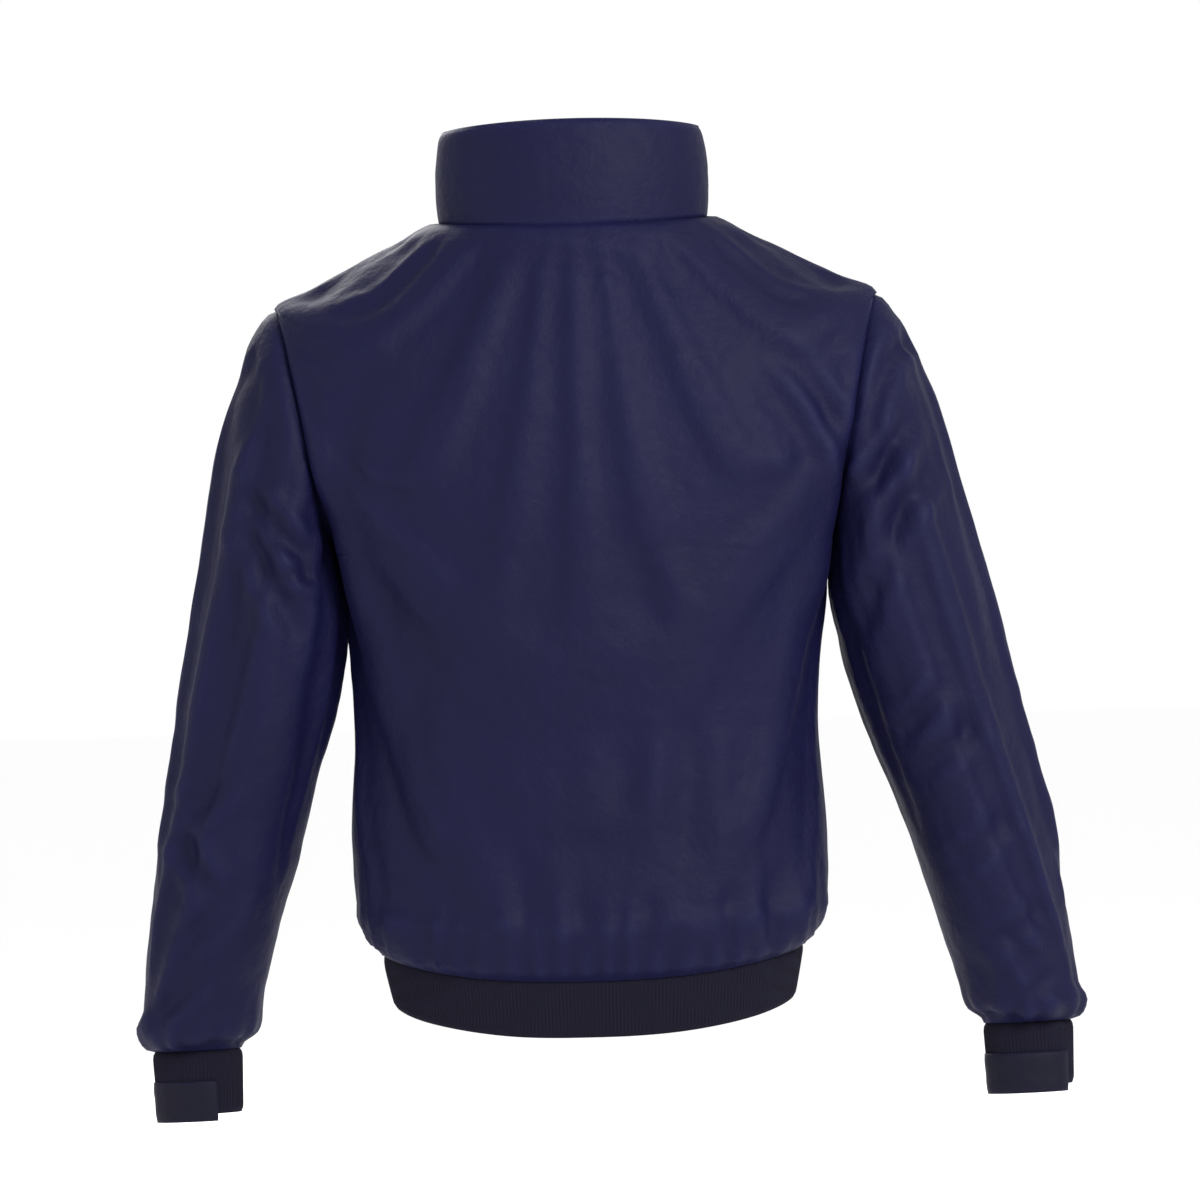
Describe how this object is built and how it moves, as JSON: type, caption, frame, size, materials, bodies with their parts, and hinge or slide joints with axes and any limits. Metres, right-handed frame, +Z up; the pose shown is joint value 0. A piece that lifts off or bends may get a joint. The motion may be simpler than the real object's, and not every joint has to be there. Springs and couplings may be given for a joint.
{
  "type": "foul weather jacket",
  "caption": "Fleece-lined zip blouson with stand collar, set-in sleeves, zipped hand pockets and ribbed hem and cuffs, held open as when worn.",
  "frame": {"origin": "underside of the hanger loop's span at the centre back of the neck, where a peg bears", "axes": "+Z up, the zipped front faces -Y, the wearer's left is +X"},
  "size_m": [0.7959, 0.2434, 0.8319],
  "materials": {
    "shell": "matt woven polyester",
    "fleece": "brushed fleece pile",
    "lining": "smooth taffeta",
    "rib": "knitted rib",
    "tape": "woven zip tape",
    "plastic": "moulded",
    "metal": "satin",
    "webbing": "woven webbing"
  },
  "bodies": {
    "garment": {"back_panel": "shell", "back_lining": "fleece", "collar_back": "shell", "collar_back_lining": "fleece", "hem_band": "rib", "hanger_loop": "webbing", "side_panel_left": "shell", "side_lining_left": "fleece", "pocket_welt_left": "shell", "pocket_zip_left": "tape", "pocket_bag_left": "lining", "side_panel_right": "shell", "side_lining_right": "fleece", "pocket_welt_right": "shell", "pocket_zip_right": "tape", "pocket_bag_right": "lining"},
    "front_left": {"front_panel_left": "shell", "front_lining_left": "fleece", "collar_front_left": "shell", "collar_front_lining_left": "fleece", "hem_tab_left": "shell", "zip_tape_left": "tape", "zip_teeth_left": "plastic", "zip_top_stop_left": "metal", "zip_retainer_box": "plastic", "inner_pocket": "lining"},
    "front_right": {"front_panel_right": "shell", "front_lining_right": "fleece", "collar_front_right": "shell", "collar_front_lining_right": "fleece", "hem_tab_right": "shell", "zip_tape_right": "tape", "zip_teeth_right": "plastic", "zip_top_stop_right": "metal", "zip_pin": "plastic"},
    "sleeve_left": {"sleeve_left": "shell", "sleeve_lining_left": "lining", "cuff_left": "rib"},
    "cuff_tab_left": {"cuff_tab_left": "shell"},
    "sleeve_right": {"sleeve_right": "shell", "sleeve_lining_right": "lining", "cuff_right": "rib"},
    "cuff_tab_right": {"cuff_tab_right": "shell"},
    "zip_slider": {"zip_slider": "metal"},
    "zip_puller": {"zip_puller": "metal"},
    "pocket_slider_left": {"pocket_slider_left": "metal"},
    "pocket_puller_left": {"pocket_puller_left": "metal"},
    "pocket_slider_right": {"pocket_slider_right": "metal"},
    "pocket_puller_right": {"pocket_puller_right": "metal"}
  },
  "joints": [
    {"name": "front_left_open", "type": "hinge", "parent": "garment", "child": "front_left", "pos_m": [0.1002, -0.1763, -0.3], "axis": [0, 0.0522, 0.9986], "range_deg": [0, 80]},
    {"name": "front_right_open", "type": "hinge", "parent": "garment", "child": "front_right", "pos_m": [-0.1002, -0.1763, -0.3], "axis": [0, -0.0522, -0.9986], "range_deg": [0, 80]},
    {"name": "sleeve_left_swing", "type": "hinge", "parent": "garment", "child": "sleeve_left", "pos_m": [0.2305, -0.0817, -0.188], "axis": [-0.9822, 0, 0.1878], "range_deg": [-15, 30]},
    {"name": "sleeve_right_swing", "type": "hinge", "parent": "garment", "child": "sleeve_right", "pos_m": [-0.2305, -0.08162, -0.188], "axis": [-0.9822, 0, -0.1878], "range_deg": [-15, 30]},
    {"name": "cuff_tab_left_open", "type": "hinge", "parent": "sleeve_left", "child": "cuff_tab_left", "pos_m": [0.37158, -0.09703, -0.74993], "axis": [-0.0227, 0, -0.9997], "range_deg": [0, 85]},
    {"name": "cuff_tab_right_open", "type": "hinge", "parent": "sleeve_right", "child": "cuff_tab_right", "pos_m": [-0.32833, -0.09727, -0.74539], "axis": [-0.0227, 0, -0.9997], "range_deg": [0, 85]},
    {"name": "zip_slide", "type": "slide", "parent": "front_left", "child": "zip_slider", "axis": [0, -0.0522, -0.9986], "range_m": [0, 0.7]},
    {"name": "zip_puller_swing", "type": "hinge", "parent": "zip_slider", "child": "zip_puller", "pos_m": [0, -0.15165, 0.038], "axis": [-1, 0, 0], "range_deg": [0, 150]},
    {"name": "pocket_left_slide", "type": "slide", "parent": "garment", "child": "pocket_slider_left", "axis": [0.2123, 0.0323, -0.9767], "range_m": [0, 0.125]},
    {"name": "pocket_puller_left_swing", "type": "hinge", "parent": "pocket_slider_left", "child": "pocket_puller_left", "pos_m": [0.12301, -0.16795, -0.43694], "axis": [-0.8903, -0.4055, -0.207], "range_deg": [0, 150]},
    {"name": "pocket_right_slide", "type": "slide", "parent": "garment", "child": "pocket_slider_right", "axis": [-0.2123, 0.0323, -0.9767], "range_m": [0, 0.125]},
    {"name": "pocket_puller_right_swing", "type": "hinge", "parent": "pocket_slider_right", "child": "pocket_puller_right", "pos_m": [-0.12301, -0.16795, -0.43694], "axis": [-0.8903, 0.4055, 0.207], "range_deg": [0, 150]}
  ]
}
